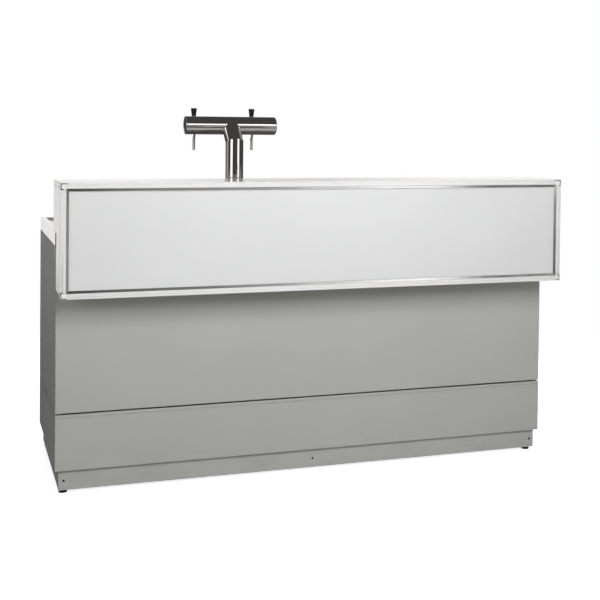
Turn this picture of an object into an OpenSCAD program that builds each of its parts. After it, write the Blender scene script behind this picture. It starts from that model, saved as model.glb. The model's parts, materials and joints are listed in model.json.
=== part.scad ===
// Beer dispensing counter with an illuminated bar front and a two-tap column.
// Millimetres. +Z up, -Y towards the guests, +Y towards the barkeeper,
// origin on the floor at the centre of the outline.

/* [Overall] */
// Length of the counter
counter_w = 2000; // [1900:10:2200]
// Depth from the front panels to the rear edge of the worktop
cabinet_d = 700; // [690:5:760]
// Height of the bar top
bar_h = 1155; // [1130:5:1180]
// Height of the worktop rim
worktop_h = 965; // [955:5:975]

/* [Bar front] */
// Distance that the bar front stands out from the cabinet
box_proj = 155; // [130:5:180]
// Height of the bar front
box_h = 411; // [395:1:425]
// Face width of the white frame profile
frame_w = 20; // [18:1:24]
// Width of the polished bead around the panel
bead_w = 10; // [8:1:12]
// Depth of the bar top behind the front panels
bar_back = 102; // [100:1:106]

/* [Cabinet] */
// Height of the joint between lower and upper panels
seam_h = 299; // [260:1:340]
// Open joint between lower and upper panels
seam_gap = 6; // [4:1:8]
// Underside of the cabinet panels
cabinet_z = 90; // [88:1:94]
// Thickness of the folded sheet
sheet = 2; // [1.5:0.5:2.5]
// Centre of each inner partition from the middle
partition_x = 400; // [380:5:440]
// Plinth set back from the panels
plinth_in = 14; // [12:1:16]
// Clearance between plinth and floor
plinth_z = 15; // [14:1:18]

/* [Tower] */
// Position of the tower along the counter
tower_x = -289; // [-300:1:-280]
// Position of the tower column behind the front panels
tower_y = 170; // [166:1:174]
// Outside radius of the column
tube_r = 36; // [34:0.5:36]
// Outside radius of the cross tube
cross_r = 36.4; // [36.4:0.2:38]
// Height of the mitre between column and neck
mitre_z = 1295; // [1288:1:1306]
// Cross tube axis behind the column axis
cross_dy = 70; // [66:1:76]
// Cross tube axis above the mitre
cross_dz = 67; // [62:1:70]
// Straight length of the cross tube
cross_l = 362; // [340:2:400]
// Spacing of the two taps
tap_pitch = 246; // [230:2:260]

/* [Hidden] */
$fn = 64;
hw = counter_w/2;
y_mid = (cabinet_d - box_proj)/2;
yf = -box_proj;              // front plane of the bar front
box_z = bar_h - box_h;       // underside of the bar front
prof_d = 30;                 // depth of the frame profile
corner = 24;                 // corner piece of the frame
corner_r = 3;                // its outer radius
bar_t = 18;                  // bar top thickness
wt_z = worktop_h - 51;       // underside of the worktop skirt
wt_floor = worktop_h - 8;    // working surface inside the rim
rim = 22;                    // rim width
bar_s = 25;                  // frame bar section
up_x = hw - 50;              // inner face of the corner uprights
ry = cabinet_d - 86;         // front face of the rear uprights
pt = 16;                     // partition thickness
lo_top = seam_h - seam_gap/2;
hi_bot = seam_h + seam_gap/2;
pw = hw - plinth_in;         // half length of the plinth
py0 = plinth_in;
py1 = cabinet_d - plinth_in;
foot_x = hw - 33;
foot_y0 = 46;
foot_y1 = cabinet_d - 46;
yc = tower_y + cross_dy;     // cross tube axis
zc = mitre_z + cross_dz;
tube_t = 2;
nl = norm([cross_dy, cross_dz]);
ny = cross_dy/nl;
nz = cross_dz/nl;
lean = atan2(cross_dy, cross_dz);   // neck angle from vertical
tap_y = yc + 126;            // lever axis of the taps
tap_pz = zc + 16;            // lever pivot height
tray_y = yc + 122;           // centre of the drip tray, under the spouts
door_y0 = cabinet_d - 54;
door_t = 20;
door_z0 = cabinet_z + 8;
door_z1 = wt_z - 14;
hinge_x = hw - 40;
hinge_y = door_y0 + door_t/2;
line_z = 800;
sw_x = 600;
sw_z = worktop_h + 95;
gland_x = 700;
gland_z = 52;

grey = [0.60, 0.60, 0.58];
white = [0.92, 0.92, 0.90];
steel = [0.78, 0.79, 0.80];
dark = [0.10, 0.10, 0.10];

// ---------- helpers ----------
module place() translate([0, -y_mid, 0]) children();
module slab(x0, x1, y0, y1, z0, z1) translate([x0, y0, z0]) cube([x1 - x0, y1 - y0, z1 - z0]);
module pair() { children(); mirror([1, 0, 0]) children(); }
module rod_x(r, x0, x1, y, z) translate([x0, y, z]) rotate([0, 90, 0]) cylinder(r = r, h = x1 - x0);
module rod_y(r, y0, y1, x, z) translate([x, y0, z]) rotate([-90, 0, 0]) cylinder(r = r, h = y1 - y0);
module rod_z(r, z0, z1, x, y) translate([x, y, z0]) cylinder(r = r, h = z1 - z0);

// round tube swept along a list of points
function unit(v) = v/norm(v);
function tang(p, i) = unit(p[min(i + 1, len(p) - 1)] - p[max(i - 1, 0)]);
function rings(p, i, n) = i >= len(p) ? [] :
  let(t = tang(p, i), u = unit(n - (n*t)*t)) concat([[u, cross(t, u)]], rings(p, i + 1, u));
module sweep(p, r, k = 10) {
  n = len(p);
  t0 = tang(p, 0);
  seed = abs(t0[2]) < 0.9 ? [0, 0, 1] : [1, 0, 0];
  fr = rings(p, 0, seed);
  polyhedron(
    points = [for (i = [0:n - 1]) for (j = [0:k - 1]) p[i] + r*(cos(360*j/k)*fr[i][0] + sin(360*j/k)*fr[i][1])],
    faces = concat(
      [[for (j = [0:k - 1]) j]],
      [[for (j = [0:k - 1]) (n - 1)*k + k - 1 - j]],
      [for (i = [0:n - 2]) for (j = [0:k - 1]) [i*k + j, (i + 1)*k + j, (i + 1)*k + (j + 1)%k]],
      [for (i = [0:n - 2]) for (j = [0:k - 1]) [i*k + j, (i + 1)*k + (j + 1)%k, i*k + (j + 1)%k]]));
}
function lerp(a, b, n) = [for (i = [0:n - 1]) a + (b - a)*i/n];

// ---------- plinth, feet, deck ----------
screw_xs = [-hw + 33, 0, hw - 33];
module screw_bores_front(r, y0, y1) for (x = screw_xs) rod_y(r, y0, y1, x, 50);
module screw_bores_rear(r, y0, y1) for (x = screw_xs) rod_y(r, y0, y1, x, 76);

module plinth_front() color(grey) place() difference() {
  slab(-pw, pw, py0, py0 + sheet, plinth_z, cabinet_z - 2);
  screw_bores_front(2.7, py0 - 1, py0 + sheet + 1);
}
module plinth_sides() color(grey) place() pair()
  slab(pw - sheet, pw, py0 + sheet + 0.2, py1 - sheet - 0.2, plinth_z, cabinet_z - 2);
module plinth_rear() color(grey) place() difference() {
  slab(-pw, pw, py1 - sheet, py1, plinth_z, cabinet_z - 2);
  screw_bores_rear(2.7, py1 - sheet - 1, py1 + 1);
  rod_y(8.2, py1 - sheet - 1, py1 + 1, gland_x, gland_z);
}
// button-head screw, head towards -Y
module screw() {
  rotate([-90, 0, 0]) cylinder(r = 2.5, h = 14);
  difference() {
    rotate([90, 0, 0]) cylinder(r1 = 4.2, r2 = 3, h = 2.4);
    rotate([90, 0, 0]) translate([0, 0, 1.2]) cylinder(r = 1.6, h = 3, $fn = 6);
  }
}
module plinth_screws() color(dark) place() {
  for (x = screw_xs) translate([x, py0, 50]) screw();
  for (x = screw_xs) translate([x, py1, 76]) rotate([0, 0, 180]) screw();
}
module foot_socket(fy, y0, y1) difference() {
  slab(hw - 56, pw - sheet, y0, y1, 17, cabinet_z - 2);
  rod_z(5.05, 16, 72, foot_x, fy);
}
module foot_sockets() color(steel) place() difference() {
  pair() {
    foot_socket(foot_y0, py0 + sheet, py0 + sheet + 50);
    foot_socket(foot_y1, py1 - sheet - 50, py1 - sheet);
  }
  screw_bores_front(2.7, py0, py0 + sheet + 14);
  screw_bores_rear(2.7, py1 - sheet - 14, py1);
}
// levelling foot: ribbed pad, collar and stud in one
module foot() color(dark) {
  cylinder(r = 16, h = 3);
  translate([0, 0, 3]) cylinder(r1 = 16, r2 = 12, h = 5);
  translate([0, 0, 8]) cylinder(r = 9.5, h = 8.6, $fn = 6);
  translate([0, 0, 16.6]) cylinder(r = 5, h = 45.4);
}
module foot_front_left() place() translate([-foot_x, foot_y0, 0]) foot();
module foot_front_right() place() translate([foot_x, foot_y0, 0]) foot();
module foot_rear_left() place() translate([-foot_x, foot_y1, 0]) foot();
module foot_rear_right() place() translate([foot_x, foot_y1, 0]) foot();

module floor_deck() color(grey) place() slab(-hw + 22, hw - 22, 24, cabinet_d - 24, cabinet_z - 2, cabinet_z);

// ---------- carcass frame ----------
module bar_at(x0, x1, y0, y1, z0, z1) { e = 0.2; slab(x0 + e, x1 - e, y0 + e, y1 - e, z0 + e, z1 - e); }
module frame_bars() color(steel) place() {
  fx = hw - 56;
  px = partition_x - bar_s/2;
  // base
  difference() {
    bar_at(-fx, fx, py0 + sheet - 0.2, py0 + sheet + 30, 40, cabinet_z - 1.8);
    screw_bores_front(2.7, py0, py0 + sheet + 14);
  }
  difference() {
    bar_at(-fx, fx, py1 - sheet - 30, py1 - sheet + 0.2, 64, cabinet_z - 1.8);
    screw_bores_rear(2.7, py1 - sheet - 14, py1);
  }
  pair() bar_at(pw - sheet - 30, pw - sheet + 0.2, py0 + sheet + 50, py1 - sheet - 50, 40, cabinet_z - 1.8);
  pair() bar_at(px, px + bar_s, py0 + sheet + 30, py1 - sheet - 30, 58, cabinet_z - 1.8);
  // uprights
  pair() for (y = [26, ry]) {
    bar_at(up_x, up_x + bar_s, y, y + bar_s, cabinet_z - 0.2, wt_z - 2);
    bar_at(px, px + bar_s, y, y + bar_s, cabinet_z - 0.2, wt_z - 2);
  }
  // top ring
  for (y = [26, ry]) bar_at(-up_x - bar_s, up_x + bar_s, y, y + bar_s, wt_z - 2, wt_z + 23);
  pair() bar_at(up_x, up_x + bar_s, 26 + bar_s, ry, wt_z - 2, wt_z + 23);
  // bars behind the panel joint
  pair() bar_at(px + bar_s, up_x, 26, 26 + bar_s, seam_h - 12, seam_h + 13);
  bar_at(-px, px, 26, 26 + bar_s, seam_h - 12, seam_h + 13);
  pair() bar_at(up_x, up_x + bar_s, 26 + bar_s, ry, seam_h - 12, seam_h + 13);
  // flat pieces that close the joint at the front corners
  pair() bar_at(up_x + bar_s, hw - 4, 5, 26 + bar_s, lo_top, hi_bot);
}

// ---------- cabinet panels ----------
// folded front panel with returns on all four sides
module front_tray(z0, z1) {
  slab(-hw, hw, 0, sheet, z0, z1);
  slab(-hw + 4, hw - 4, sheet - 0.5, 22, z0, z0 + sheet);
  slab(-hw + 4, hw - 4, sheet - 0.5, 22, z1 - sheet, z1);
  pair() slab(hw - 4 - sheet, hw - 4, sheet - 0.5, 22, z0, z1);
}
module front_panel_upper() color(grey) place() front_tray(hi_bot, wt_z - 0.5);
module front_panel_lower() color(grey) place() difference() {
  front_tray(cabinet_z, lo_top);
  slab(-hw - 1, hw + 1, -1, 0.65*sheet, lo_top - 12, lo_top - 9.4);
  translate([0, 0, lo_top]) rotate([45, 0, 0]) slab(-hw - 1, hw + 1, -1.4, 1.4, -1.4, 1.4);
}
// folded side panel of the right-hand end
module side_tray(z0, z1) {
  slab(hw - sheet, hw, sheet + 0.2, cabinet_d, z0, z1);
  slab(hw - 22, hw - sheet + 0.5, 24, cabinet_d, z0, z0 + sheet);
  slab(hw - 22, hw - sheet + 0.5, 24, cabinet_d, z1 - sheet, z1);
  slab(hw - 14, hw - sheet + 0.5, cabinet_d - sheet, cabinet_d, z0, z1);
}
module side_lower() difference() {
  side_tray(cabinet_z, lo_top);
  slab(hw - 0.65*sheet, hw + 1, 0, cabinet_d + 1, lo_top - 12, lo_top - 9.4);
  translate([hw, 0, lo_top]) rotate([0, 45, 0]) slab(-1.4, 1.4, 0, cabinet_d + 1, -1.4, 1.4);
}
module right_panel_upper() color(grey) place() side_tray(hi_bot, wt_z - 0.5);
module left_panel_upper() color(grey) place() mirror([1, 0, 0]) side_tray(hi_bot, wt_z - 0.5);
module right_panel_lower() color(grey) place() side_lower();
module left_panel_lower() color(grey) place() mirror([1, 0, 0]) side_lower();

// ---------- inside ----------
module partitions() color(white) place() difference() {
  pair() slab(partition_x - pt/2, partition_x + pt/2, 26 + bar_s + 0.2, ry - 0.2, cabinet_z + 0.2, wt_z - 20);
  for (y = [130, 170]) rod_x(6.1, -partition_x - pt, -partition_x + pt, y, line_z);
}
module bay_shelf() color(white) place()
  slab(-partition_x + pt/2 + 0.4, partition_x - pt/2 - 0.4, 56, ry - 6, 470, 488);
module shelf_cleats() color(steel) place()
  pair() slab(partition_x - pt/2 - 14, partition_x - pt/2, 80, ry - 30, 452, 470);

module tower_bolt_spots() for (a = [45:90:315]) translate([tower_x + 44.5*cos(a), tower_y + 44.5*sin(a), 0]) children();
tray_hx = 163;
tray_hy = 98;
module worktop_core() color("burlywood") place() difference() {
  slab(-hw + 6, hw - 6, 12, cabinet_d - 6, wt_z + 23, wt_floor - sheet);
  slab(tower_x - tray_hx - 3, tower_x + tray_hx + 3, tray_y - tray_hy - 3, tray_y + tray_hy + 3, wt_z, worktop_h);
  rod_z(28, wt_z, worktop_h, tower_x, tower_y);
  tower_bolt_spots() cylinder(r = 2.8, h = worktop_h);
  pair() slab(hw - 36, hw, 5, 36, wt_z, worktop_h);
}
// pressed steel worktop with a raised rim, skirts and tray cut-out
module worktop() color(steel) place() difference() {
  slab(-hw, hw, 6, cabinet_d, wt_z, worktop_h);
  slab(-hw + sheet, hw - sheet, 6 + sheet, cabinet_d - sheet, wt_z - 1, wt_floor - sheet);
  slab(-hw + rim, hw - rim, 99, cabinet_d - rim, wt_floor, worktop_h + 1);
  slab(tower_x - tray_hx - 1.5, tower_x + tray_hx + 1.5, tray_y - tray_hy - 1.5, tray_y + tray_hy + 1.5, wt_z, worktop_h + 1);
  rod_z(28, wt_z, worktop_h + 1, tower_x, tower_y);
  tower_bolt_spots() cylinder(r = 2.8, h = worktop_h + 1);
  // notched front corners
  pair() slab(hw - 30, hw + 1, 5, 30, wt_z - 1, worktop_h + 1);
}
drain_x = tower_x + 100;
module drip_tray() color(steel) place() difference() {
  union() {
    slab(tower_x - tray_hx, tower_x + tray_hx, tray_y - tray_hy, tray_y + tray_hy, wt_floor - 52, wt_floor + 2);
    slab(tower_x - tray_hx - 13, tower_x + tray_hx + 13, tray_y - tray_hy - 13, tray_y + tray_hy + 13, wt_floor, wt_floor + 2);
    rod_z(16, wt_floor - 98, wt_floor - 51, drain_x, tray_y);
  }
  difference() {
    slab(tower_x - tray_hx + 2, tower_x + tray_hx - 2, tray_y - tray_hy + 2, tray_y + tray_hy - 2, wt_floor - 50, wt_floor + 3);
    // corner rests for the grate
    for (sx = [-1, 1]) for (sy = [-1, 1])
      translate([tower_x + sx*(tray_hx - 6), tray_y + sy*(tray_hy - 6), wt_floor - 26]) cube([12, 12, 48], center = true);
  }
  rod_z(13.5, wt_floor - 99, wt_floor - 40, drain_x, tray_y);
}
// slotted grate, lifts out of the tray
module drip_grate() color(steel) place() difference() {
  slab(tower_x - tray_hx + 3, tower_x + tray_hx - 3, tray_y - tray_hy + 3, tray_y + tray_hy - 3, wt_floor - 2, wt_floor + 2);
  for (i = [0:20]) for (s = [-1, 1])
    translate([tower_x - 140 + 14*i, tray_y + s*43, wt_floor]) cube([7, 74, 10], center = true);
}

// ---------- bar front and bar top ----------
module bar_top() color(white) place()
  slab(-hw, hw, yf + prof_d + 0.2, bar_back, bar_h - bar_t, bar_h);
module bar_rear_panel() color(grey) place() difference() {
  slab(-hw + 18.2, hw - 18.2, bar_back - 18, bar_back - 4, worktop_h + 0.2, bar_h - bar_t - 0.2);
  slab(sw_x - 10.7, sw_x + 10.7, 0, bar_back, sw_z - 15.2, sw_z + 15.2);
}
module bar_ends() color(white) place() pair() difference() {
  slab(hw - 18, hw, yf + prof_d + 0.2, bar_back - 2, box_z + 13, bar_h - bar_t - 0.2);
  slab(hw - 19, hw + 1, 0, bar_back, box_z, worktop_h);
  slab(hw - 19, hw + 1, -8, bar_back, wt_z - 1, worktop_h);
}
module bar_underside() color(white) place()
  slab(-hw + 18.2, hw - 18.2, yf + prof_d + 0.2, -0.3, box_z + 13, box_z + 16);

// straight profile of the white frame, face at -Y, outer edge at z = 0, runs along X
module profile(l) difference() {
  translate([-l/2, 0, 0]) cube([l, prof_d, frame_w]);
  translate([-l/2 - 1, -1, 6.2]) cube([l + 2, 2, 1.6]);
}
module panel_frame_rails() color(white) place() {
  translate([0, yf, box_z]) profile(2*hw - 2*corner - 0.6);
  translate([0, yf, bar_h]) mirror([0, 0, 1]) profile(2*hw - 2*corner - 0.6);
}
module panel_frame_sides() color(white) place() pair()
  translate([hw, yf, (bar_h + box_z)/2]) rotate([0, -90, 0]) profile(box_h - 2*corner - 0.6);
// corner outline at a distance i from the outer edges, rounded outer corner
module corner_area(i) difference() {
  translate([-60, i]) square([60 - i, 60]);
  if (i < corner_r) difference() {
    translate([-corner_r, -1]) square(corner_r + 1);
    translate([-corner_r, corner_r]) circle(r = corner_r - i);
  }
}
module frame_corners() color(white) place()
  pair() for (m = [0, 1]) translate([hw, yf, m == 0 ? box_z : bar_h]) mirror([0, 0, m]) difference() {
    translate([-corner, 0, 0]) cube([corner, prof_d, corner]);
    translate([-corner - 1, -1, frame_w]) cube([corner - frame_w + 1, prof_d + 2, corner]);
    // rounded outer corner
    difference() {
      translate([-corner_r, -1, -1]) cube([corner_r + 1, prof_d + 2, corner_r + 1]);
      translate([-corner_r, -2, corner_r]) rotate([-90, 0, 0]) cylinder(r = corner_r, h = prof_d + 4);
    }
    // outline groove in the face
    translate([0, 12, 0]) rotate([90, 0, 0]) linear_extrude(height = 14) difference() { corner_area(1.1); corner_area(4.4); }
    translate([-12, -1, corner - 3]) cube([10.8, 13, 4]);
  }
// flat bead, face sloping slightly inwards, with mitred ends, outer edge at z = 0
module bead(l) difference() {
  rotate([90, 0, 90]) translate([0, 0, -l/2]) linear_extrude(height = l)
    polygon([[4.6, 0.2], [0.5, 0.2], [0, 0.7], [0.4, bead_w - 0.7], [0.9, bead_w - 0.2], [4.6, bead_w - 0.2]]);
  for (s = [-1, 1]) translate([s*l/2, 0, 0]) rotate([0, -s*45, 0]) translate([s > 0 ? -0.1 : -39.9, -5, -40]) cube([40, 20, 80]);
}
module panel_trim() color(steel) place() {
  translate([0, yf + 1, box_z + frame_w]) bead(2*hw - 2*frame_w);
  translate([0, yf + 1, bar_h - frame_w]) mirror([0, 0, 1]) bead(2*hw - 2*frame_w);
  pair() translate([hw - frame_w, yf + 1, (bar_h + box_z)/2]) rotate([0, -90, 0]) bead(box_h - 2*frame_w);
}
module display_panel() color([0.85, 0.85, 0.86]) place()
  slab(-hw + frame_w + 1, hw - frame_w - 1, yf + 6, yf + 10, box_z + frame_w + 1, bar_h - frame_w - 1);
module light_battens() color(white) place() for (z = [box_z + 56, box_z + 124]) difference() {
  slab(-900, 900, -26, -0.3, z, z + 26);
  slab(-880, 880, -27, -20, z + 4, z + 22);
}
module bar_brackets() color(steel) place() for (x = [-700, -250, 250, 700])
  translate([x - 2, 0, 0]) rotate([90, 0, 90]) linear_extrude(height = 4)
    polygon([[10, worktop_h + 0.2], [bar_back - 20, worktop_h + 0.2], [bar_back - 20, bar_h - bar_t - 0.2],
      [yf + prof_d + 4, bar_h - bar_t - 0.2], [yf + prof_d + 4, bar_h - 58], [10, worktop_h + 55]]);

// ---------- tower ----------
module tower_flange() color(steel) place() difference() {
  translate([tower_x, tower_y, wt_floor]) { cylinder(r = 50, h = 4); translate([0, 0, 4]) cylinder(r1 = 50, r2 = 48, h = 2); }
  rod_z(tube_r + 0.1, wt_floor - 1, worktop_h + 10, tower_x, tower_y);
  tower_bolt_spots() cylinder(r = 2.8, h = worktop_h + 10);
}
module tower_bolts() color(steel) place() tower_bolt_spots() {
  rod_z(2.5, wt_z + 10, wt_floor + 6, 0, 0);
  translate([0, 0, wt_floor + 6]) difference() {
    cylinder(r1 = 4.3, r2 = 3.4, h = 2.6);
    translate([0, 0, 1.2]) cylinder(r = 1.7, h = 4, $fn = 6);
  }
  translate([0, 0, wt_z + 18]) cylinder(r = 4.6, h = 5, $fn = 6);
}
// half space above the mitre plane between column and neck
module above_mitre() translate([tower_x, tower_y, mitre_z]) rotate([-lean/2, 0, 0]) translate([-100, -150, 0]) cube([200, 300, 200]);
module tower_column() color(steel) place() difference() {
  rod_z(tube_r, wt_floor, mitre_z + 60, tower_x, tower_y);
  rod_z(tube_r - tube_t, wt_floor - 1, mitre_z + 61, tower_x, tower_y);
  above_mitre();
}
module neck_rod(r, a, b) translate([tower_x, tower_y, mitre_z]) rotate([-lean, 0, 0]) translate([0, 0, a]) cylinder(r = r, h = b - a);
module tower_neck() color(steel) place() difference() {
  intersection() { neck_rod(tube_r, -60, nl); above_mitre(); }
  neck_rod(tube_r - tube_t, -61, nl + 1);
  rod_x(cross_r + 0.05, tower_x - 90, tower_x + 90, yc, zc);
}
module tower_crossbar() color(steel) place() difference() {
  rod_x(cross_r, tower_x - cross_l/2, tower_x + cross_l/2, yc, zc);
  rod_x(cross_r - tube_t, tower_x - cross_l/2 - 1, tower_x + cross_l/2 + 1, yc, zc);
  neck_rod(24, nl - 60, nl);
  for (s = [-1, 1]) rod_y(9.3, yc, yc + 50, tower_x + s*tap_pitch/2, zc);
}
cap_f = 5;                    // edge radius of the end caps
cap_a = 78;                   // arc of the edge before the domed face
cap_d = cross_r - cap_f + cap_f*cos(cap_a);   // radius of the domed face
cap_z = 2 + cap_f*sin(cap_a);
cap_h = cap_d/2*tan(90 - cap_a);
module end_cap() rotate([0, 90, 0]) rotate_extrude() polygon(concat(
  [[0, -6], [cross_r - tube_t - 0.1, -6], [cross_r - tube_t - 0.1, 0], [cross_r, 0]],
  [for (i = [0:8]) [cross_r - cap_f + cap_f*cos(cap_a*i/8), 2 + cap_f*sin(cap_a*i/8)]],
  [for (j = [1:6]) let(q = 1 - j/6) [cap_d*q, cap_z + cap_h*(1 - q*q)]]));
module tower_end_caps() color(steel) place() {
  translate([tower_x + cross_l/2, yc, zc]) end_cap();
  translate([tower_x - cross_l/2, yc, zc]) mirror([1, 0, 0]) end_cap();
}

// ---------- taps ----------
module at_taps() for (s = [-1, 1]) translate([tower_x + s*tap_pitch/2, 0, 0]) children();
module at_left() translate([tower_x - tap_pitch/2, 0, 0]) children();
module at_right() translate([tower_x + tap_pitch/2, 0, 0]) children();

module tap_shanks() color(steel) place() at_taps() {
  rod_y(9, yc + 20, yc + 58, 0, zc);
  difference() {
    rod_y(17, yc + 26, yc + 44, 0, zc);
    rod_x(cross_r + 0.05, -30, 30, yc, zc);
  }
}
module tap_bodies() color(steel) place() at_taps() difference() {
  union() {
    translate([0, yc + 58, zc]) rotate([-90, 0, 0]) cylinder(r = 18, h = 13, $fn = 6);
    rod_y(14, yc + 70, yc + 140, 0, zc);
    translate([0, yc + 140, zc]) rotate([-90, 0, 0]) cylinder(r1 = 14, r2 = 10, h = 4);
    rod_z(12, zc, zc + 24, 0, tap_y);
    translate([0, tap_y, zc + 24]) cylinder(r1 = 12, r2 = 10, h = 2);
  }
  rod_y(4, yc + 57, yc + 77, 0, zc);
  rod_y(7.05, yc + 76, yc + 139, 0, zc);
  // seat of the lever ball and the slots that the lever swings in
  translate([0, tap_y, tap_pz]) sphere(r = 7.4);
  rod_x(2.55, -10.4, 10.4, tap_y, tap_pz);
  slab(-3.2, 3.2, tap_y - 11, tap_y + 4, zc + 4, zc + 13);
  slab(-4.2, 4.2, tap_y - 4.4, tap_y + 20, tap_pz, zc + 30);
  rod_z(3, zc - 16, zc, 0, yc + 101);
}
spout_dy = 21;
spout_dz = 32;
spout_lean = atan2(spout_dy, spout_dz + 4);
spout_y = yc + 101;
module tap_spouts() color(steel) place() at_taps() difference() {
  union() {
    rod_z(7, zc - 20, zc - 9, 0, spout_y);
    translate([0, spout_y, zc - 20]) sphere(r = 7.8);
    translate([0, spout_y, zc - 20]) rotate([180 + spout_lean, 0, 0]) cylinder(r = 4.6, h = norm([spout_dy, spout_dz + 4]));
    translate([0, spout_y + spout_dy, zc - 56]) sphere(r = 6.3);
    rod_z(5.6, zc - 99, zc - 56, 0, spout_y + spout_dy);
    translate([0, spout_y + spout_dy, zc - 101]) cylinder(r1 = 4.8, r2 = 5.6, h = 2);
  }
  rod_y(14.05, yc + 60, yc + 160, 0, zc);
  rod_z(3, zc - 20, zc, 0, spout_y);
  translate([0, spout_y, zc - 20]) sphere(r = 3.6);
  translate([0, spout_y, zc - 20]) rotate([180 + spout_lean, 0, 0]) cylinder(r = 3, h = norm([spout_dy, spout_dz + 4]));
  translate([0, spout_y + spout_dy, zc - 56]) sphere(r = 3.8);
  rod_z(3.2, zc - 102, zc - 56, 0, spout_y + spout_dy);
}
module lever() color(steel) {
  translate([0, tap_y, tap_pz]) sphere(r = 7);
  rod_x(2.5, -10, 10, tap_y, tap_pz);
  rod_z(2.2, zc, tap_pz, 0, tap_y);
  translate([0, tap_y, zc]) sphere(r = 3.5);
  rod_z(3.5, tap_pz, zc + 34, 0, tap_y);
  rod_z(6, zc + 32, zc + 38, 0, tap_y);
}
module tap_lever_left() place() at_left() lever();
module tap_lever_right() place() at_right() lever();
module knob() color(dark) translate([0, tap_y, zc + 38]) rotate_extrude()
  polygon([[0, 0], [8.2, 0], [9.1, 0.8], [9.3, 4], [12.3, 28.6], [12.7, 30.4], [12.5, 31.8], [11.6, 32.6], [7, 33.2], [0, 33.4]]);
module tap_knob_left() place() at_left() knob();
module tap_knob_right() place() at_right() knob();
module piston() color(steel) difference() {
  rod_y(7, yc + 92, yc + 137.5, 0, zc);
  slab(-8, 8, tap_y - 4.4, tap_y + 7.2, zc - 4.6, zc + 8);
  // ring groove of the seal
  difference() {
    rod_y(8, yc + 95, yc + 97, 0, zc);
    rod_y(6, yc + 94, yc + 98, 0, zc);
  }
}
module tap_piston_left() place() at_left() piston();
module tap_piston_right() place() at_right() piston();

// ---------- beer lines ----------
line_r = 4.6;
function tap_run(s) = [for (p = [[tap_pitch/2, 19.8, 0], [tap_pitch/2, 14, 0], [tap_pitch/2 - 4, 4, 0], [tap_pitch/2 - 14, -4, -1],
  [tap_pitch/2 - 30, -7, -2], [70, -7, -3], [36, -8, -4], [22, -14, -9]])
  [tower_x + s*p[0], yc + p[1], zc + p[2]]];
function neck_run(s) = [for (p = [[15, nl - 37], [13, nl*0.42], [12, nl*0.2], [12, 4]]) [tower_x + s*p[0], tower_y + ny*p[1], mitre_z + nz*p[1] - 2]];
function drop_run(s) = [for (z = [mitre_z - 24, mitre_z - 60, mitre_z - 160, mitre_z - 260, wt_floor - 20, 900, 872]) [tower_x + s*12, tower_y, z]];
function end_run(s) = let(x0 = tower_x + s*12, x1 = -partition_x + 28.6, ye = s < 0 ? 130 : 170, dx = x1 - x0)
  [for (q = [[0.02, 0.05, 850], [0.10, 0.22, 830], [0.28, 0.52, 812], [0.52, 0.80, 803], [0.78, 0.96, line_z], [1, 1, line_z]])
    [x0 + dx*q[0], tower_y + (ye - tower_y)*q[1], q[2]]];
module beer_lines() color("ivory") place() for (s = [-1, 1])
  sweep(concat(tap_run(s), neck_run(s), drop_run(s), end_run(s)), line_r, 10);
// bulkhead fittings through the left partition
module line_couplings() color(steel) place() for (y = [130, 170]) {
  x0 = -partition_x;
  rod_x(6, x0 - 14, x0 + 14, y, line_z);
  translate([x0 - 14, y, line_z]) rotate([0, 90, 0]) cylinder(r = 10, h = 6, $fn = 6);
  translate([x0 + 8, y, line_z]) rotate([0, 90, 0]) cylinder(r = 10, h = 6, $fn = 6);
  rod_x(4.75, x0 - 36, x0 - 14, y, line_z);
  rod_x(5.5, x0 + 14, x0 + 28, y, line_z);
}

// ---------- doors ----------
door_in = partition_x - 4;       // free edge of the doors
module door() difference() {
  slab(door_in, hw - 28, door_y0, door_y0 + door_t, door_z0, door_z1);
  rod_z(4.05, door_z0 - 1, door_z0 + 18, hinge_x, hinge_y);
  rod_z(4.05, door_z1 - 18, door_z1 + 1, hinge_x, hinge_y);
}
module door_right() color(grey) place() door();
module door_left() color(grey) place() mirror([1, 0, 0]) door();
handle_x = door_in + 34;
handle_z = 620;
module handle() {
  for (z = [handle_z - 64, handle_z + 64]) rod_y(4, door_y0 + door_t, cabinet_d - 8, handle_x, z);
  rod_z(5, handle_z - 80, handle_z + 80, handle_x, cabinet_d - 8);
}
module door_handle_right() color(steel) place() handle();
module door_handle_left() color(steel) place() mirror([1, 0, 0]) handle();
module door_hinges() color(steel) place() pair() {
  slab(up_x - 4, up_x + bar_s, ry + bar_s, hinge_y + 9, cabinet_z, cabinet_z + 5);
  rod_z(4, cabinet_z + 4, door_z0 + 15, hinge_x, hinge_y);
  slab(up_x - 4, up_x + bar_s, ry + bar_s, hinge_y + 9, door_z1 + 3, door_z1 + 8);
  rod_z(4, door_z1 - 15, door_z1 + 4, hinge_x, hinge_y);
}

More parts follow.
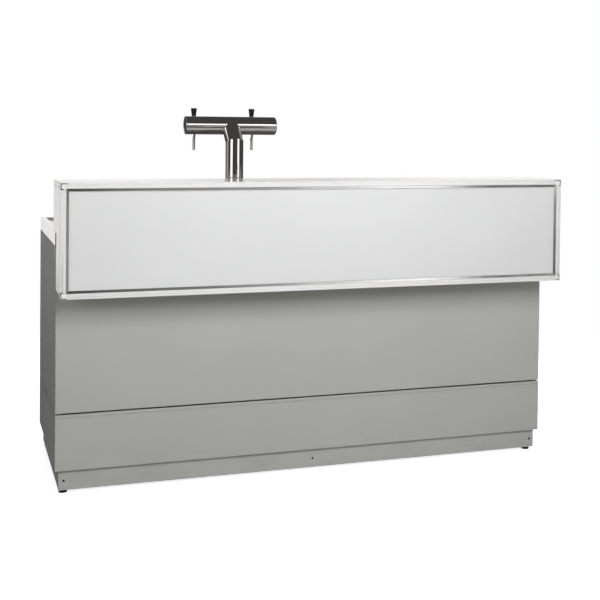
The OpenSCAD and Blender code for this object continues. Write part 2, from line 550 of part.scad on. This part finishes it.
// ---------- light switch and cable entry ----------
sw_y = bar_back - 4;
module switch_housing() color(dark) place() difference() {
  union() {
    slab(sw_x - 10.5, sw_x + 10.5, sw_y - 18, sw_y, sw_z - 15, sw_z + 15);
    slab(sw_x - 15, sw_x + 15, sw_y, sw_y + 3, sw_z - 19, sw_z + 19);
  }
  slab(sw_x - 8.5, sw_x + 8.5, sw_y - 15, sw_y + 4, sw_z - 13, sw_z + 13);
  rod_x(1.65, sw_x - 10, sw_x + 10, sw_y - 3, sw_z);
}
module light_rocker() color(dark) place() {
  translate([sw_x - 8, sw_y - 3, sw_z]) rotate([90, 0, 90]) linear_extrude(height = 16)
    polygon([[-6, -3], [-6, 3], [2, 10.6], [7.4, 10], [4.4, 0], [3.6, -9.4], [1, -10.2]]);
  rod_x(1.6, sw_x - 9.7, sw_x + 9.7, sw_y - 3, sw_z);
}
module cable_gland() color(dark) place() difference() {
  union() {
    rod_y(8, py1 - 16, py1, gland_x, gland_z);
    translate([gland_x, py1, gland_z]) rotate([-90, 0, 0]) cylinder(r = 12, h = 5, $fn = 6);
    translate([gland_x, py1 + 5, gland_z]) rotate([-90, 0, 0]) cylinder(r1 = 9.5, r2 = 7, h = 7);
  }
  rod_y(4, py1 - 17, py1 + 13, gland_x, gland_z);
}

plinth_front();
plinth_sides();
plinth_rear();
plinth_screws();
foot_sockets();
foot_front_left();
foot_front_right();
foot_rear_left();
foot_rear_right();
floor_deck();
frame_bars();
front_panel_upper();
front_panel_lower();
left_panel_upper();
left_panel_lower();
right_panel_upper();
right_panel_lower();
partitions();
bay_shelf();
shelf_cleats();
worktop_core();
worktop();
drip_tray();
drip_grate();
bar_top();
bar_rear_panel();
bar_ends();
bar_underside();
panel_frame_rails();
panel_frame_sides();
frame_corners();
panel_trim();
display_panel();
light_battens();
bar_brackets();
tower_flange();
tower_bolts();
tower_column();
tower_neck();
tower_crossbar();
tower_end_caps();
tap_shanks();
tap_bodies();
tap_spouts();
tap_lever_left();
tap_lever_right();
tap_knob_left();
tap_knob_right();
tap_piston_left();
tap_piston_right();
beer_lines();
line_couplings();
door_left();
door_right();
door_handle_left();
door_handle_right();
door_hinges();
switch_housing();
light_rocker();
cable_gland();
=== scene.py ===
import json
import math

import bmesh
import bpy
from mathutils import Matrix, Vector

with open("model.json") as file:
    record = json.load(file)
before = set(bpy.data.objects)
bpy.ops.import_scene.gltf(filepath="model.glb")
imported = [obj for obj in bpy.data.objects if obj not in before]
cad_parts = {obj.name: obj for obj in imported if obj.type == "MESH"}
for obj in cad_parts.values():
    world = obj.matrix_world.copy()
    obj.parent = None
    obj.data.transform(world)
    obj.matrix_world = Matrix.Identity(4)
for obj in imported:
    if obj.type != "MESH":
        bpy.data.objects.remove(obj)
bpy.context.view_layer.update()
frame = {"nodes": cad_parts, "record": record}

NODES = frame["nodes"]
scene = bpy.context.scene
scene.view_settings.view_transform = "Standard"
scene.view_settings.look = "None"
scene.view_settings.exposure = 0.0
scene.view_settings.gamma = 1.0

# ---------------------------------------------------------------- camera
yaw, pitch, roll = 0.3153, 0.0201, 0.0096
fwd = Vector((math.sin(yaw) * math.cos(pitch), math.cos(yaw) * math.cos(pitch), -math.sin(pitch)))
rt0 = Vector((math.cos(yaw), -math.sin(yaw), 0.0))
up0 = Vector((math.sin(yaw) * math.sin(pitch), math.cos(yaw) * math.sin(pitch), math.cos(pitch)))
rt = rt0 * math.cos(roll) + up0 * math.sin(roll)
up = up0 * math.cos(roll) - rt0 * math.sin(roll)
cam_data = bpy.data.cameras.new("camera")
cam_data.sensor_fit = "HORIZONTAL"
cam_data.sensor_width = 36.0
cam_data.lens = 1075.1 * 36.0 / 600.0
cam_data.shift_x = 0.0
cam_data.shift_y = (148.85 - 300.0) / 600.0
cam_data.clip_start = 0.05
cam_data.clip_end = 200.0
cam_data.dof.use_dof = False
cam = bpy.data.objects.new("camera", cam_data)
scene.collection.objects.link(cam)
loc = Vector((-1.3700, -4.2594, 1.3584))
cam.matrix_world = Matrix((
    (rt.x, up.x, -fwd.x, loc.x),
    (rt.y, up.y, -fwd.y, loc.y),
    (rt.z, up.z, -fwd.z, loc.z),
    (0, 0, 0, 1)))
scene.camera = cam


# ---------------------------------------------------------------- material helpers
class Mat:
    """A principled material with small helpers for its texture nodes. Coordinates are metres on the object."""

    def __init__(self, name):
        self.m = bpy.data.materials.new(name)
        self.m.use_nodes = True
        self.nt = self.m.node_tree
        self.nt.nodes.clear()
        self.out = self.nt.nodes.new("ShaderNodeOutputMaterial")
        self.b = self.nt.nodes.new("ShaderNodeBsdfPrincipled")
        self.nt.links.new(self.b.outputs["BSDF"], self.out.inputs["Surface"])
        tc = self.nt.nodes.new("ShaderNodeTexCoord")
        self.co = tc.outputs["Object"]

    def set(self, **kw):
        for k, v in kw.items():
            self.b.inputs[k.replace("_", " ")].default_value = v

    def link(self, a, b):
        self.nt.links.new(a, b)

    def scaled(self, s, loc=(0, 0, 0), rot=(0, 0, 0)):
        n = self.nt.nodes.new("ShaderNodeMapping")
        n.inputs["Scale"].default_value = s
        n.inputs["Location"].default_value = loc
        n.inputs["Rotation"].default_value = rot
        self.link(self.co, n.inputs["Vector"])
        return n.outputs["Vector"]

    def noise(self, scale, detail=2.0, rough=0.5, vec=None, distort=0.0):
        n = self.nt.nodes.new("ShaderNodeTexNoise")
        n.inputs["Scale"].default_value = scale
        n.inputs["Detail"].default_value = detail
        n.inputs["Roughness"].default_value = rough
        n.inputs["Distortion"].default_value = distort
        self.link(vec if vec is not None else self.co, n.inputs["Vector"])
        return n.outputs["Fac"]

    def wave(self, scale, vec=None, distort=0.0, detail=0.0, axis="X"):
        n = self.nt.nodes.new("ShaderNodeTexWave")
        n.bands_direction = axis
        n.inputs["Scale"].default_value = scale
        n.inputs["Distortion"].default_value = distort
        n.inputs["Detail"].default_value = detail
        self.link(vec if vec is not None else self.co, n.inputs["Vector"])
        return n.outputs["Fac"]

    def cells(self, scale, vec=None, feature="DISTANCE_TO_EDGE"):
        n = self.nt.nodes.new("ShaderNodeTexVoronoi")
        n.feature = feature
        n.inputs["Scale"].default_value = scale
        self.link(vec if vec is not None else self.co, n.inputs["Vector"])
        return n.outputs["Distance"]

    def remap(self, fac, a, b, c, d):
        n = self.nt.nodes.new("ShaderNodeMapRange")
        n.clamp = True
        self.link(fac, n.inputs["Value"])
        for k, v in (("From Min", a), ("From Max", b), ("To Min", c), ("To Max", d)):
            n.inputs[k].default_value = v
        return n.outputs["Result"]

    def ramp(self, fac, *stops):
        n = self.nt.nodes.new("ShaderNodeValToRGB")
        e = n.color_ramp.elements
        while len(e) < len(stops):
            e.new(0.5)
        for el, (p, c) in zip(e, stops):
            el.position = p
            el.color = (*c, 1.0)
        self.link(fac, n.inputs["Fac"])
        return n.outputs["Color"]

    def mix(self, fac, a, b, mode="MIX"):
        n = self.nt.nodes.new("ShaderNodeMix")
        n.data_type = "RGBA"
        n.blend_type = mode
        for sock, v in ((n.inputs["Factor"], fac), (n.inputs[6], a), (n.inputs[7], b)):
            if hasattr(v, "is_output"):
                self.link(v, sock)
            elif isinstance(v, (int, float)):
                sock.default_value = v
            else:
                sock.default_value = (*v, 1.0)
        return n.outputs[2]

    def math(self, op, a, b):
        n = self.nt.nodes.new("ShaderNodeMath")
        n.operation = op
        for sock, v in ((n.inputs[0], a), (n.inputs[1], b)):
            if hasattr(v, "is_output"):
                self.link(v, sock)
            else:
                sock.default_value = v
        return n.outputs[0]

    def height(self):
        n = self.nt.nodes.new("ShaderNodeSeparateXYZ")
        self.link(self.co, n.inputs["Vector"])
        return n.outputs["Z"]

    def crevice(self, reach, darkest):
        """Painted shade from ambient occlusion: 1 on open surfaces, down to darkest in joints and grooves narrower than
        reach.
        """
        n = self.nt.nodes.new("ShaderNodeAmbientOcclusion")
        n.samples = 8
        n.only_local = False
        n.inputs["Distance"].default_value = reach
        return self.remap(n.outputs["AO"], 0.12, 0.62, darkest, 1.0)

    def shade_joints(self, c, reach, darkest):
        """Colour c with painted shade: the joints and grooves darkened."""
        n = self.nt.nodes.new("ShaderNodeVectorMath")
        n.operation = "SCALE"
        self.link(c, n.inputs[0])
        self.link(self.crevice(reach, darkest), n.inputs["Scale"])
        return n.outputs["Vector"]

    def bump(self, fac, strength, dist, under=None):
        n = self.nt.nodes.new("ShaderNodeBump")
        n.inputs["Strength"].default_value = strength
        n.inputs["Distance"].default_value = dist
        self.link(fac, n.inputs["Height"])
        if under is not None:
            self.link(under, n.inputs["Normal"])
        return n.outputs["Normal"]

    def color(self, sock):
        self.link(sock, self.b.inputs["Base Color"])

    def rough(self, sock):
        self.link(sock, self.b.inputs["Roughness"])

    def normal(self, sock):
        self.link(sock, self.b.inputs["Normal"])


def shade(c, k):
    return tuple(min(1.0, v * k) for v in c)


def coat_paint(name, col, rough=(0.42, 0.54), grain=1100.0, peel=0.10, scuff=True, joint_shade=0.12):
    """Baked powder coat: fine orange peel, faint cloudiness, a little grime towards the floor, painted shade in the
    joints and grooves.
    """
    m = Mat(name)
    cloud = m.noise(2.2, 3.0, 0.55)
    c = m.ramp(cloud, (0.30, shade(col, 0.975)), (0.70, shade(col, 1.025)))
    speck = m.noise(grain * 1.6, 1.0, 0.6)
    c = m.mix(m.remap(speck, 0.35, 0.75, 0.0, 0.10), c, shade(col, 0.80))
    if scuff:
        low = m.remap(m.height(), 0.02, 0.20, 0.55, 0.0)
        streak = m.noise(7.0, 4.0, 0.7, vec=m.scaled((1.0, 1.0, 2.6)))
        dirt = m.math("MULTIPLY", low, m.remap(streak, 0.45, 0.75, 0.0, 0.5))
        c = m.mix(dirt, c, (0.20, 0.19, 0.175))
    # painted shade: colour darkened by ambient occlusion in joints and grooves within 14 mm
    m.color(m.shade_joints(c, 0.014, joint_shade))
    wipe = m.noise(5.0, 3.0, 0.6, vec=m.scaled((0.5, 1.0, 1.6)))
    m.rough(m.remap(wipe, 0.3, 0.7, rough[0], rough[1]))
    m.normal(m.bump(m.noise(grain, 1.5, 0.5), peel, 0.0006))
    return m


def board(name, col, rough=(0.10, 0.20), pearl=900.0, depth=0.03):
    """Laminate-faced board: even colour, faint pearl texture, handling marks in the gloss."""
    m = Mat(name)
    cloud = m.noise(3.1, 2.0, 0.5)
    c = m.ramp(cloud, (0.3, shade(col, 0.985)), (0.7, shade(col, 1.01)))
    fleck = m.noise(pearl * 0.6, 2.0, 0.7)
    c = m.mix(m.remap(fleck, 0.55, 0.8, 0.0, 0.12), c, shade(col, 0.9))
    m.color(c)
    smear = m.noise(11.0, 4.0, 0.65, distort=0.4)
    m.rough(m.remap(smear, 0.35, 0.7, rough[0], rough[1]))
    m.normal(m.bump(m.noise(pearl, 2.0, 0.5), depth, 0.0004))
    return m


def moulded(name, col, rough=(0.35, 0.5), grain=1800.0, depth=0.12):
    """Moulded plastic with a spark-eroded grain."""
    m = Mat(name)
    tone = m.noise(25.0, 3.0, 0.6)
    c = m.ramp(tone, (0.3, shade(col, 0.9)), (0.7, shade(col, 1.12)))
    # painted shade: colour darkened by ambient occlusion in joints and grooves within 10 mm
    m.color(m.shade_joints(c, 0.010, 0.15))
    m.rough(m.remap(m.noise(60.0, 3.0, 0.6), 0.3, 0.7, rough[0], rough[1]))
    m.normal(m.bump(m.cells(grain, feature="SMOOTH_F1"), depth, 0.0003))
    return m


def metal(name, col, rough, along=(1.0, 1.0, 1.0), line=0.05, depth=0.0002, stain=0.06, joint_shade=False):
    """Bare metal with a directional finish: long fine lines, faint stains."""
    m = Mat(name)
    m.set(Metallic=1.0)
    vec = m.scaled(along)
    lines = m.noise(220.0, 3.0, 0.65, vec=vec)
    c = m.ramp(lines, (0.25, shade(col, 0.95)), (0.75, shade(col, 1.04)))
    cloud = m.noise(9.0, 4.0, 0.6)
    c = m.mix(m.remap(cloud, 0.45, 0.8, 0.0, stain * 4), c, shade(col, 0.82))
    # painted shade when asked for: colour darkened by ambient occlusion in joints within 30 mm
    m.color(m.shade_joints(c, 0.03, 0.1) if joint_shade else c)
    mixr = m.math("ADD", m.remap(lines, 0.2, 0.8, rough[0], rough[1]), m.remap(cloud, 0.4, 0.8, 0.0, stain))
    m.rough(mixr)
    m.normal(m.bump(lines, line, depth))
    return m


# ---------------------------------------------------------------- materials
GREY = (0.395, 0.396, 0.376)
WHITE = (0.79, 0.785, 0.77)
S = {}
S["grey_coat"] = coat_paint("grey_coat", GREY)
S["grey_board"] = coat_paint("grey_board", shade(GREY, 0.98), rough=(0.34, 0.46), grain=700.0, peel=0.06)
S["white_board"] = board("white_board", (0.80, 0.80, 0.79), rough=(0.115, 0.13), depth=0.006)
S["inner_board"] = board("inner_board", (0.72, 0.715, 0.69), rough=(0.38, 0.5), pearl=500.0, depth=0.08)
S["white_profile"] = coat_paint("white_profile", (0.668, 0.664, 0.653), rough=(0.15, 0.19), grain=1500.0, peel=0.05, scuff=False, joint_shade=0.5)
S["white_plastic"] = moulded("white_plastic", (0.705, 0.700, 0.686), rough=(0.28, 0.4))
S["lit_panel"] = board("lit_panel", (0.605, 0.606, 0.612), rough=(0.50, 0.58), pearl=1400.0, depth=0.03)
S["lit_panel"].set(Specular_IOR_Level=0.3)
S["polished_bead"] = metal("polished_bead", (0.72, 0.72, 0.71), (0.12, 0.16), along=(0.05, 1.0, 0.05), line=0.02)
S["worktop_steel"] = metal("worktop_steel", (0.78, 0.78, 0.77), (0.13, 0.19), along=(0.03, 3.0, 3.0), line=0.03)
S["worktop_steel"].set(Metallic=0.85)
S["polished_steel"] = metal("polished_steel", (0.60, 0.585, 0.555), (0.035, 0.065), along=(1.0, 1.0, 1.0), line=0.015, depth=0.00005, stain=0.02)
S["plain_steel"] = metal("plain_steel", (0.66, 0.655, 0.64), (0.30, 0.36), along=(1.0, 1.0, 1.0), line=0.02, depth=0.0001, stain=0.03)
S["frame_metal"] = metal("frame_metal", (0.60, 0.605, 0.61), (0.36, 0.48), along=(1.0, 1.0, 1.0), line=0.08, joint_shade=True)
S["black_screw"] = metal("black_screw", (0.055, 0.055, 0.055), (0.34, 0.46), line=0.08)
S["black_plastic"] = moulded("black_plastic", (0.022, 0.022, 0.022), rough=(0.42, 0.56))
S["black_knob"] = moulded("black_knob", (0.012, 0.012, 0.012), rough=(0.16, 0.26), grain=900.0, depth=0.03)

tube = Mat("line_tube")
tube.color(tube.ramp(tube.noise(40.0, 3.0), (0.3, (0.70, 0.69, 0.63)), (0.7, (0.80, 0.79, 0.74))))
tube.rough(tube.remap(tube.noise(80.0, 2.0), 0.3, 0.7, 0.22, 0.34))
tube.normal(tube.bump(tube.noise(500.0, 2.0), 0.05, 0.0003))
S["line_tube"] = tube

ply = Mat("core_board")
layers = ply.wave(210.0, axis="Z", distort=1.2, detail=2.0)
grain_v = ply.noise(30.0, 5.0, 0.65, vec=ply.scaled((0.6, 14.0, 14.0)))
c0 = ply.ramp(grain_v, (0.25, (0.40, 0.26, 0.14)), (0.75, (0.62, 0.46, 0.28)))
ply.color(ply.mix(ply.remap(layers, 0.4, 0.6, 0.0, 0.4), c0, (0.30, 0.19, 0.10)))
ply.rough(ply.remap(grain_v, 0.3, 0.7, 0.55, 0.72))
ply.normal(ply.bump(grain_v, 0.2, 0.0006))
S["core_board"] = ply

slot_of = {s["node"]: s["material_slot"] for s in frame["record"]["subparts"]}
for name, o in NODES.items():
    o.data.materials.clear()
    o.data.materials.append(S[slot_of[name]].m)


# ---------------------------------------------------------------- softened edges on the CAD pieces
def edge_group(min_len):
    """Marks long sharp edges, so that only those are rounded and small holes keep their rims."""
    g = bpy.data.node_groups.new(f"long_edges_{int(min_len * 1e5)}", "GeometryNodeTree")
    g.interface.new_socket(name="Geometry", in_out="INPUT", socket_type="NodeSocketGeometry")
    g.interface.new_socket(name="Geometry", in_out="OUTPUT", socket_type="NodeSocketGeometry")
    n = g.nodes
    i, o = n.new("NodeGroupInput"), n.new("NodeGroupOutput")
    ang = n.new("GeometryNodeInputMeshEdgeAngle")
    ev = n.new("GeometryNodeInputMeshEdgeVertices")
    d = n.new("ShaderNodeVectorMath")
    d.operation = "DISTANCE"
    g.links.new(ev.outputs["Position 1"], d.inputs[0])
    g.links.new(ev.outputs["Position 2"], d.inputs[1])
    a = n.new("FunctionNodeCompare")
    a.data_type, a.operation = "FLOAT", "GREATER_THAN"
    g.links.new(ang.outputs["Unsigned Angle"], a.inputs["A"])
    a.inputs["B"].default_value = math.radians(35)
    l = n.new("FunctionNodeCompare")
    l.data_type, l.operation = "FLOAT", "GREATER_THAN"
    g.links.new(d.outputs["Value"], l.inputs["A"])
    l.inputs["B"].default_value = min_len
    both = n.new("FunctionNodeBooleanMath")
    both.operation = "AND"
    g.links.new(a.outputs["Result"], both.inputs[0])
    g.links.new(l.outputs["Result"], both.inputs[1])
    st = n.new("GeometryNodeStoreNamedAttribute")
    st.data_type, st.domain = "FLOAT", "EDGE"
    st.inputs["Name"].default_value = "bevel_weight_edge"
    g.links.new(i.outputs[0], st.inputs["Geometry"])
    g.links.new(both.outputs[0], st.inputs["Value"])
    g.links.new(st.outputs["Geometry"], o.inputs[0])
    return g


GROUPS = {}


def soften(node, width, segments=2, min_len=0.004):
    o = NODES[node]
    w = o.modifiers.new("weld", "WELD")
    w.merge_threshold = 2e-6
    d = o.modifiers.new("flat", "DECIMATE")
    d.decimate_type = "DISSOLVE"
    d.angle_limit = math.radians(0.3)
    if min_len not in GROUPS:
        GROUPS[min_len] = edge_group(min_len)
    gm = o.modifiers.new("edges", "NODES")
    gm.node_group = GROUPS[min_len]
    b = o.modifiers.new("round", "BEVEL")
    b.limit_method = "WEIGHT"
    b.width = width
    b.segments = segments
    b.use_clamp_overlap = True
    n = o.modifiers.new("normals", "WEIGHTED_NORMAL")
    n.keep_sharp = False
    n.weight = 60


for node, width in {
    "bar_top": 0.0020, "bar_ends": 0.0004, "bar_rear_panel": 0.0010, "bar_underside": 0.0006,
    "panel_frame_rails": 0.0005, "panel_frame_sides": 0.0005, "display_panel": 0.0005,
    "front_panel_upper": 0.0009, "front_panel_lower": 0.0004,
    "left_panel_upper": 0.0009, "left_panel_lower": 0.0004,
    "right_panel_upper": 0.0009, "right_panel_lower": 0.0004,
    "plinth_front": 0.0005, "plinth_sides": 0.0005, "plinth_rear": 0.0005,
    "worktop": 0.0012, "door_left": 0.0012, "door_right": 0.0012,
    "partitions": 0.0008, "bay_shelf": 0.0010, "shelf_cleats": 0.0008,
    "frame_bars": 0.0012, "light_battens": 0.0015, "bar_brackets": 0.0005,
    "switch_housing": 0.0006, "light_rocker": 0.0006,
}.items():
    soften(node, width)

# ---------------------------------------------------------------- stage: floor, surroundings, lights
bm = bmesh.new()
bmesh.ops.create_grid(bm, x_segments=40, y_segments=40, size=3.6)
me = bpy.data.meshes.new("floor")
bm.to_mesh(me)
bm.free()
floor = bpy.data.objects.new("floor", me)
scene.collection.objects.link(floor)
floor.location = (0, 0, -0.0005)
fm = bpy.data.materials.new("floor_paper")
fm.use_nodes = True
nt = fm.node_tree
nt.nodes.clear()
out = nt.nodes.new("ShaderNodeOutputMaterial")
dif = nt.nodes.new("ShaderNodeBsdfDiffuse")
dif.inputs["Color"].default_value = (0.86, 0.86, 0.86, 1)
emi = nt.nodes.new("ShaderNodeEmission")
emi.inputs["Color"].default_value = (1, 1, 1, 1)
emi.inputs["Strength"].default_value = 0.80
add = nt.nodes.new("ShaderNodeAddShader")
nt.links.new(dif.outputs[0], add.inputs[0])
nt.links.new(emi.outputs[0], add.inputs[1])
tra = nt.nodes.new("ShaderNodeBsdfTransparent")
tcn = nt.nodes.new("ShaderNodeTexCoord")
ln = nt.nodes.new("ShaderNodeVectorMath")
ln.operation = "LENGTH"
nt.links.new(tcn.outputs["Object"], ln.inputs[0])
mr = nt.nodes.new("ShaderNodeMapRange")
mr.interpolation_type = "SMOOTHSTEP"
mr.inputs["From Min"].default_value = 1.7
mr.inputs["From Max"].default_value = 3.4
nt.links.new(ln.outputs["Value"], mr.inputs["Value"])
mx = nt.nodes.new("ShaderNodeMixShader")
nt.links.new(mr.outputs["Result"], mx.inputs["Fac"])
nt.links.new(add.outputs[0], mx.inputs[1])
nt.links.new(tra.outputs[0], mx.inputs[2])
nt.links.new(mx.outputs[0], out.inputs["Surface"])
me.materials.append(fm)
floor.visible_diffuse = False
floor.visible_glossy = False

world = bpy.data.worlds.new("studio")
scene.world = world
world.use_nodes = True
nt = world.node_tree
nt.nodes.clear()
wo = nt.nodes.new("ShaderNodeOutputWorld")
tcn = nt.nodes.new("ShaderNodeTexCoord")
sep = nt.nodes.new("ShaderNodeSeparateXYZ")
nt.links.new(tcn.outputs["Generated"], sep.inputs[0])


def smooth(sock, a, b, c, d):
    n = nt.nodes.new("ShaderNodeMapRange")
    n.interpolation_type = "SMOOTHSTEP"
    for k, v in (("From Min", a), ("From Max", b), ("To Min", c), ("To Max", d)):
        n.inputs[k].default_value = v
    nt.links.new(sock, n.inputs["Value"])
    return n.outputs["Result"]


def wmath(op, x, y):
    n = nt.nodes.new("ShaderNodeMath")
    n.operation = op
    for sock, v in ((n.inputs[0], x), (n.inputs[1], y)):
        if hasattr(v, "is_output"):
            nt.links.new(v, sock)
        else:
            sock.default_value = v
    return n.outputs[0]


def window(sock, lo, hi, soft):
    return wmath("MULTIPLY", smooth(sock, lo - soft, lo + soft, 0.0, 1.0), smooth(sock, hi - soft, hi + soft, 1.0, 0.0))


# what polished surfaces see: a dark room, a white backdrop behind the counter, a grey card behind on the left
azim = wmath("ARCTAN2", sep.outputs["X"], sep.outputs["Y"])
low_band = window(sep.outputs["Z"], -0.16, 0.36, 0.06)
backdrop = wmath("MULTIPLY", window(azim, math.radians(-4.0), math.radians(40.0), math.radians(2.5)), low_band)
# its left end stays below the height of the tower's cross tube
left_end = wmath("MULTIPLY", window(azim, math.radians(-13.0), math.radians(-4.0), math.radians(2.5)), low_band)
left_end = wmath("MULTIPLY", left_end, smooth(sep.outputs["Z"], -0.040, -0.014, 1.0, 0.0))
backdrop = wmath("ADD", backdrop, left_end)
card = wmath("MULTIPLY", window(azim, math.radians(-70.0), math.radians(-49.0), math.radians(3.0)), 0.50)
card = wmath("ADD", card, wmath("MULTIPLY", window(azim, math.radians(-87.0), math.radians(-70.0), math.radians(3.0)), 0.22))
card = wmath("MULTIPLY", card, low_band)
# the backdrop falls off a little in the middle, where the bar top mirrors it
dip = smooth(window(azim, math.radians(13.0), math.radians(22.5), math.radians(6.5)), 0.0, 1.0, 0.92, 0.60)
gloss = wmath("ADD", wmath("MULTIPLY", backdrop, dip), card)
# two high cards behind, seen by the sloping neck, and a low one in front, seen by the left bead
azim_f = wmath("ARCTAN2", sep.outputs["X"], wmath("MULTIPLY", sep.outputs["Y"], -1.0))
for ang, a0, a1, soft, z0, z1, level in (
    (azim, -57.0, -46.0, 1.5, 0.34, 0.52, 1.30),
    (azim, 47.0, 60.0, 2.0, 0.40, 0.60, 0.45),
    (azim_f, 9.0, 14.0, 1.0, -0.24, -0.06, 0.40),
):
    patch = wmath("MULTIPLY", window(ang, math.radians(a0), math.radians(a1), math.radians(soft)), window(sep.outputs["Z"], z0, z1, 0.015))
    gloss = wmath("ADD", gloss, wmath("MULTIPLY", patch, level))
gloss = wmath("ADD", gloss, 0.08)
# what matt surfaces get: bounce from the pale floor, little from above
soft_fill = smooth(sep.outputs["Z"], -0.10, 0.10, 0.36, 0.09)
lp = nt.nodes.new("ShaderNodeLightPath")
bg_env = nt.nodes.new("ShaderNodeBackground")
nt.links.new(gloss, bg_env.inputs["Strength"])
bg_env.inputs["Color"].default_value = (1.0, 0.99, 0.97, 1)
bg_fill = nt.nodes.new("ShaderNodeBackground")
nt.links.new(soft_fill, bg_fill.inputs["Strength"])
bg_fill.inputs["Color"].default_value = (1.0, 1.0, 0.985, 1)
bg_cam = nt.nodes.new("ShaderNodeBackground")
bg_cam.inputs["Color"].default_value = (1, 1, 1, 1)
bg_cam.inputs["Strength"].default_value = 1.0
md = nt.nodes.new("ShaderNodeMixShader")
nt.links.new(lp.outputs["Is Diffuse Ray"], md.inputs["Fac"])
nt.links.new(bg_env.outputs[0], md.inputs[1])
nt.links.new(bg_fill.outputs[0], md.inputs[2])
mw = nt.nodes.new("ShaderNodeMixShader")
nt.links.new(lp.outputs["Is Camera Ray"], mw.inputs["Fac"])
nt.links.new(md.outputs[0], mw.inputs[1])
nt.links.new(bg_cam.outputs[0], mw.inputs[2])
nt.links.new(mw.outputs[0], wo.inputs["Surface"])


def softbox(name, centre, target, w, h, radiance, colour=(1, 1, 1)):
    d = bpy.data.lights.new(name, "AREA")
    d.shape = "RECTANGLE"
    d.size, d.size_y = w, h
    d.energy = radiance * math.pi * w * h
    d.color = colour
    o = bpy.data.objects.new(name, d)
    scene.collection.objects.link(o)
    o.location = centre
    v = Vector(target) - Vector(centre)
    o.rotation_euler = v.to_track_quat("-Z", "Y").to_euler()
    o.visible_camera = False
    return o


def side_box(name, az0, az1, z0, z1, dist, radiance):
    """Upright softbox that fills the azimuths az0..az1 (from -Y towards +X) as the tower sees them."""
    mid, half = math.radians((az0 + az1) / 2), math.radians((az1 - az0) / 2)
    c = (-0.29 + dist * math.sin(mid), -0.10 - dist * math.cos(mid), (z0 + z1) / 2)
    return softbox(name, c, (-0.29, -0.10, (z0 + z1) / 2), 2 * dist * math.tan(half), z1 - z0, radiance)


side_box("softbox_right", 25.0, 47.5, 0.84, 5.0, 10.0, 1.95)
side_box("softbox_right_low", 37.0, 48.5, 0.45, 0.84, 10.0, 2.1)
side_box("softbox_right_high", 9.8, 19.0, 2.25, 5.1, 10.0, 2.3)
side_box("softbox_left", -61.5, -40.0, 0.95, 3.5, 4.2, 2.9)
# low strip lights whose reflection runs along the bead, dimmer towards the left
softbox("strip_low", (1.92, -4.0, 0.56), (0.32, -0.43, 0.56), 0.75, 0.92, 1.3)
softbox("strip_low_b", (1.349, -4.256, 0.54), (-0.251, -0.686, 0.54), 0.50, 0.88, 0.80)
softbox("strip_low_c", (0.893, -4.460, 0.50), (-0.707, -0.890, 0.50), 0.50, 0.80, 0.32)
for f in (
    softbox("fill_front", (0.0, -2.7, 2.1), (0.0, -0.43, 0.6), 1.2, 1.2, 14.0),
    softbox("fill_top", (0.0, 0.4, 4.6), (0.0, 0.4, 0.0), 3.0, 3.0, 0.7),
    softbox("fill_rear", (0.3, 4.4, 2.4), (0.0, 0.43, 0.6), 3.2, 2.2, 4.5),
    softbox("fill_far_end", (4.4, 0.9, 2.2), (1.0, 0.0, 0.6), 2.2, 2.2, 3.2),
):
    f.visible_glossy = False
